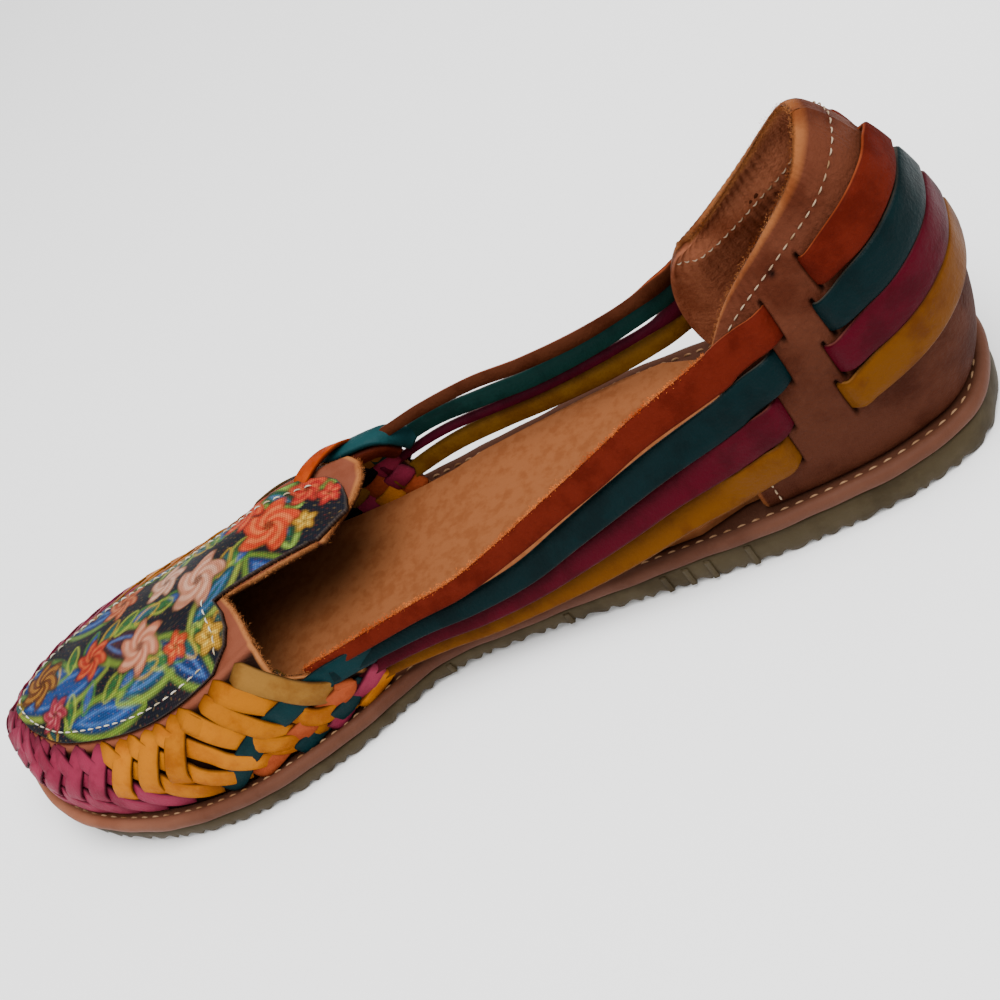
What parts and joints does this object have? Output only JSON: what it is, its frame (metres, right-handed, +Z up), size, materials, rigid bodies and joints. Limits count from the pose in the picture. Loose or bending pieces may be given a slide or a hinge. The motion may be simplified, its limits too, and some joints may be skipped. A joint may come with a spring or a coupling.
{
  "type": "huarache sandal",
  "caption": "Right huarache sandal with a woven closed toe, a patterned apron, straps round an open-sided heel cup and a stitched leather sole on lugged rubber.",
  "frame": {"origin": "on the floor under the middle of the shoe's bounding box", "axes": "+X from heel to toe, +Y to the inner side of the right foot, +Z up from the floor"},
  "size_m": [0.25, 0.079, 0.0763],
  "materials": {
    "sole_rubber": "matt, slightly translucent",
    "sole_leather": "matt, stitched",
    "footbed_leather": "smooth, worn",
    "woven_leather": "oiled strips",
    "printed_apron": "printed, matt",
    "counter_leather": "oiled, raw edge",
    "rust_leather": "oiled",
    "teal_leather": "oiled",
    "magenta_leather": "oiled",
    "ochre_leather": "oiled"
  },
  "bodies": {
    "root": {"outsole": "sole_rubber", "midsole": "sole_leather", "insole": "footbed_leather", "vamp": "woven_leather", "apron": "printed_apron", "counter": "counter_leather", "strap_top_rust": "rust_leather", "strap_upper_teal": "teal_leather", "strap_lower_magenta": "magenta_leather", "strap_bottom_ochre": "ochre_leather"}
  },
  "joints": []
}
